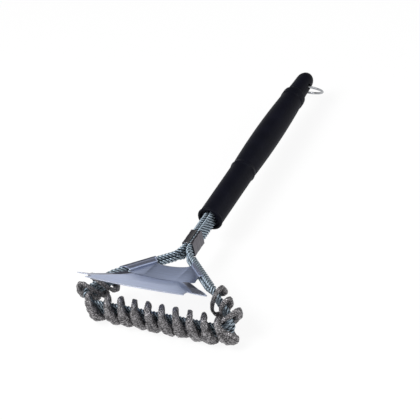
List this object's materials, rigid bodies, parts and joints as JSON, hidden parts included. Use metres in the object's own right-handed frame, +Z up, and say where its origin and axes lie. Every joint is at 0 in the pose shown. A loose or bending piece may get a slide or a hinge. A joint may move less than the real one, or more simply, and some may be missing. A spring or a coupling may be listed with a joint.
{
  "type": "grill cleaning brush",
  "caption": "Bristle-free grill brush: woven steel mesh wound on a wire rope triangle, sheet steel scraper, long moulded handle and swinging ring.",
  "frame": {"origin": "middle of the brush's bounding box, on the plane that the backs of the mesh loops stand on", "axes": "+X along the row of mesh loops, +Y along the handle towards the hanging ring, +Z up, to the scraper side"},
  "size_m": [0.1981, 0.4696, 0.0816],
  "materials": {
    "handle_plastic": "satin",
    "core_plastic": "matte",
    "ring_steel": "polished",
    "sleeve_steel": "satin",
    "rope_wire": "bright",
    "mesh_steel": "bright",
    "scraper_steel": "satin"
  },
  "bodies": {
    "brush": {"handle_grip": "handle_plastic", "handle_core": "core_plastic", "inner_ferrule": "sleeve_steel", "end_cap": "handle_plastic", "neck_sleeve": "sleeve_steel", "front_rope": "rope_wire", "middle_rope": "rope_wire", "back_rope": "rope_wire", "mesh_coil": "mesh_steel", "scraper": "scraper_steel"},
    "ring": {"hanging_ring": "ring_steel"}
  },
  "joints": [
    {"name": "ring_swing", "type": "hinge", "parent": "brush", "child": "ring", "pos_m": [0, 0.20548, 0.0371], "axis": [1, 0, 0], "range_deg": [-100, 190]}
  ]
}
